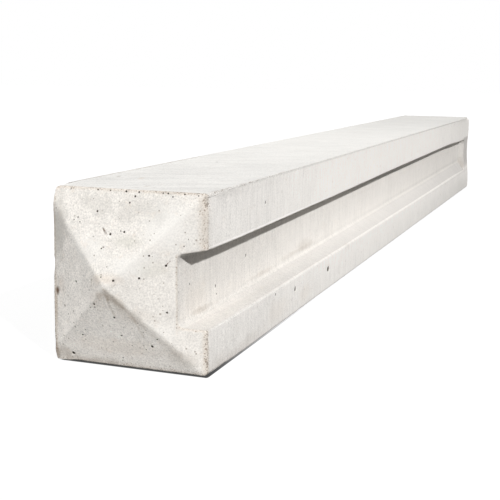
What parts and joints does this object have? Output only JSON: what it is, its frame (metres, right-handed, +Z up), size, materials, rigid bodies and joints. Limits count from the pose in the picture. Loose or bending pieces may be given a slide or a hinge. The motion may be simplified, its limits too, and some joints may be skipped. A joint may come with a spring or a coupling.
{
  "type": "fence end post",
  "caption": "Cast concrete fence end post lying on its side, with a stopped panel slot down one face and a four-way weathered top.",
  "frame": {"origin": "on the surface that the post lies on, under the middle of its bounding box", "axes": "+Y along the post from its weathered top to its foot, +X out of the slotted face, +Z up"},
  "size_m": [0.118, 1.22, 0.125],
  "materials": {
    "concrete": "cast, matt, lightly pitted"
  },
  "bodies": {
    "root": {"end_post": "concrete"}
  },
  "joints": []
}
